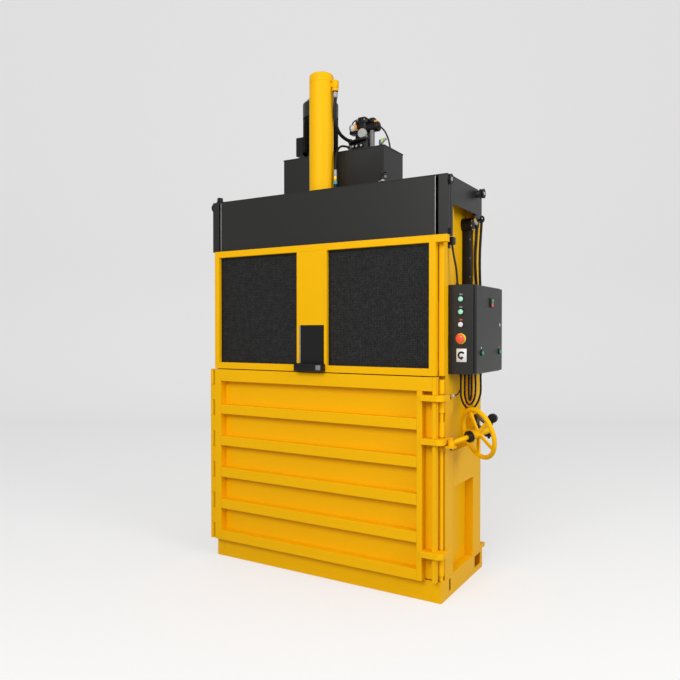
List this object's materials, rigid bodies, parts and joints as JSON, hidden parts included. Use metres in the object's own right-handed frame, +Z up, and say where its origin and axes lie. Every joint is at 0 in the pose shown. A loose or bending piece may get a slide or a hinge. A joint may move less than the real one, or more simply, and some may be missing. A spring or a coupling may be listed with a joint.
{
  "type": "vertical cardboard baler",
  "caption": "Upright press that squeezes loose cardboard into a tied bale, with a ribbed swing door, a sliding mesh feed door and a top-mounted hydraulic cylinder.",
  "frame": {"origin": "on the floor under the middle of the base", "axes": "+X to the right along the front, the front faces -Y, +Z up"},
  "size_m": [2.0911, 0.884, 3.279],
  "materials": {
    "yellow_paint": "satin",
    "dark_paint": "fine texture",
    "mesh": "matt",
    "rubber": "matt",
    "steel": "bright"
  },
  "bodies": {
    "frame": {"base_cross_members": "yellow_paint", "base_side_beams": "yellow_paint", "cabinet_controls": "dark_paint", "cabinet_door": "dark_paint", "cable_glands": "rubber", "cable_junction": "dark_paint", "cable_loop_inner": "rubber", "cable_loop_middle": "rubber", "cable_loop_outer": "rubber", "chamber_floor": "yellow_paint", "control_cabinet": "dark_paint", "corner_channels": "dark_paint", "crosshead": "yellow_paint", "cylinder_barrel": "yellow_paint", "front_posts": "yellow_paint", "gate_guides": "yellow_paint", "head_deck": "dark_paint", "head_panels": "dark_paint", "hinge_knuckles_frame": "yellow_paint", "hinge_mount": "yellow_paint", "hinge_pin": "steel", "hose_fittings": "steel", "lift_cables": "steel", "lift_channel": "dark_paint", "lift_pulleys": "dark_paint", "lock_collars": "yellow_paint", "lock_lever": "yellow_paint", "lock_pin": "yellow_paint", "lock_spindle": "yellow_paint", "oil_tank": "dark_paint", "pilot_hose": "rubber", "platen": "yellow_paint", "position_sensors": "dark_paint", "pressure_hose": "rubber", "pump_motor": "dark_paint", "ram_rod": "steel", "rear_posts": "yellow_paint", "rear_wall": "yellow_paint", "return_hose": "rubber", "sensor_cable": "rubber", "side_belts": "yellow_paint", "side_cable_front": "rubber", "side_cable_rear": "rubber", "side_walls": "yellow_paint", "spindle_bracket": "dark_paint", "switch_cable": "rubber", "valve_block": "dark_paint"},
    "main_door": {"door_skin": "yellow_paint", "door_ribs": "yellow_paint", "door_upright_bars": "yellow_paint", "door_top_bar": "yellow_paint", "door_lugs": "yellow_paint", "hinge_knuckles_door": "yellow_paint"},
    "feed_door": {"feed_door_frame": "yellow_paint", "feed_door_rollers": "steel", "feed_mesh": "mesh", "feed_centre_plate": "yellow_paint", "feed_latch_plate": "dark_paint", "feed_handle": "dark_paint"},
    "handwheel": {"handwheel": "yellow_paint"}
  },
  "joints": [
    {"name": "main_door_hinge", "type": "hinge", "parent": "frame", "child": "main_door", "pos_m": [-0.865, -0.3935, 0.7275], "axis": [0, 0, -1], "range_deg": [0, 110]},
    {"name": "feed_door_slide", "type": "slide", "parent": "frame", "child": "feed_door", "axis": [0, 0, 1], "range_m": [0, 0.7]},
    {"name": "handwheel_spin", "type": "hinge", "parent": "frame", "child": "handwheel", "pos_m": [1.017, -0.205, 0.9903], "axis": [0.5597, 0.7959, 0.2311], "continuous": true}
  ]
}
